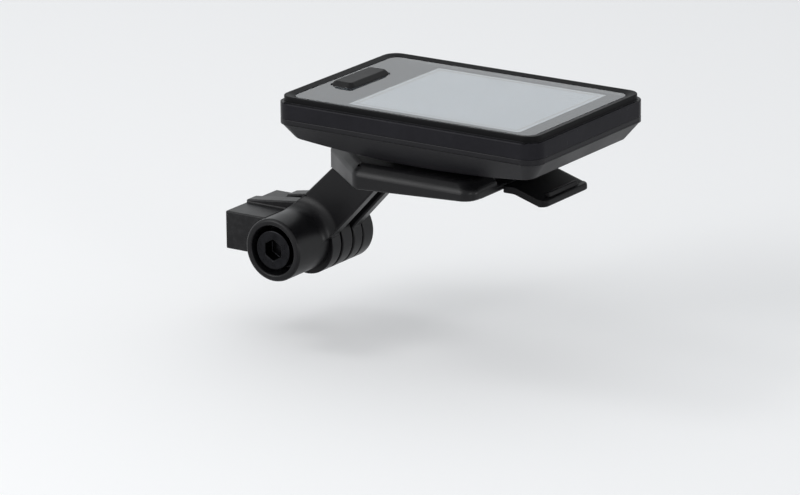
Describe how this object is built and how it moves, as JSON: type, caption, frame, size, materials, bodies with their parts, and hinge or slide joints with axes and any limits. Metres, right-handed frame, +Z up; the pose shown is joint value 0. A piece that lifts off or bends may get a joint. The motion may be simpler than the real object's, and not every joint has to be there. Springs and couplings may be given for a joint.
{
  "type": "cycling computer",
  "caption": "Slim cycling computer with a display and a push button, held by its sliding shoe in the tray of a tilting out-front arm with a release tab.",
  "frame": {"origin": "middle of the base's rear face, between its two threaded inserts, level with the tilt axis", "axes": "+X to the rider's right, +Y forward, +Z up, square to the computer's lens"},
  "size_m": [0.044, 0.0865, 0.0441],
  "materials": {
    "mount_plastic": "satin black with a fine moulded grain",
    "tab_plastic": "satin black",
    "case_upper": "satin black",
    "case_lower": "fine matt black",
    "button_rubber": "matt",
    "lens": "clear, gloss",
    "film": "black print",
    "display": "grey reflective display glass",
    "light_panel": "milky white",
    "elastomer": "striped conductive rubber",
    "frame_plastic": "white",
    "board": "green solder mask",
    "chip": "black moulding",
    "nickel": "plated sheet",
    "brass": "turned",
    "bolt_black": "black oxide",
    "steel": "zinc plated",
    "nylon": "natural nylon",
    "cell": "foil pouch",
    "foam": "closed cell foam",
    "seal": "soft"
  },
  "bodies": {
    "base": {"stem_base": "mount_plastic", "base_inserts": "brass", "pivot_bolt": "bolt_black", "bolt_washer": "bolt_black", "pivot_nut": "steel", "friction_washers": "nylon"},
    "arm": {"mount_arm": "mount_plastic", "latch_tongue": "mount_plastic"},
    "tab": {"release_tab": "tab_plastic"},
    "head": {"top_cover": "case_upper", "lens": "lens", "lens_film": "film", "display_glass": "display", "backlight": "light_panel", "contact_strip": "elastomer", "display_frame": "frame_plastic", "circuit_board": "board", "board_chips": "chip", "antenna": "brass", "buzzer": "chip", "key_switch": "nickel", "button_seal": "seal", "battery": "cell", "battery_pad": "foam", "battery_tabs": "nickel", "charging_socket": "nickel", "case_seal": "seal", "bottom_cover": "case_lower", "case_screws": "steel"},
    "button": {"button_cap": "button_rubber", "switch_plunger": "frame_plastic"},
    "port": {"port_cover": "button_rubber"}
  },
  "joints": [
    {"name": "arm_tilt", "type": "hinge", "parent": "base", "child": "arm", "pos_m": [0, 0.0175, 0], "axis": [1, 0, 0], "range_deg": [-20, 25]},
    {"name": "head_release", "type": "slide", "parent": "arm", "child": "head", "axis": [0, 1, 0], "range_m": [0, 0.032], "deforming": ["latch_tongue"]},
    {"name": "tab_press", "type": "hinge", "parent": "arm", "child": "tab", "pos_m": [0, 0.0572, 0.01985], "axis": [-1, 0, 0], "range_deg": [0, 8], "stiffness_Nm_per_rad": 1, "deforming": ["latch_tongue"]},
    {"name": "button_press", "type": "slide", "parent": "head", "child": "button", "axis": [0, 0, -1], "range_m": [0, 0.0005], "stiffness_N_per_m": 5000},
    {"name": "port_cover_hinge", "type": "hinge", "parent": "head", "child": "port", "pos_m": [0, 0.02393, 0.0273], "axis": [1, 0, 0], "range_deg": [0, 110], "stiffness_Nm_per_rad": 0.002}
  ]
}
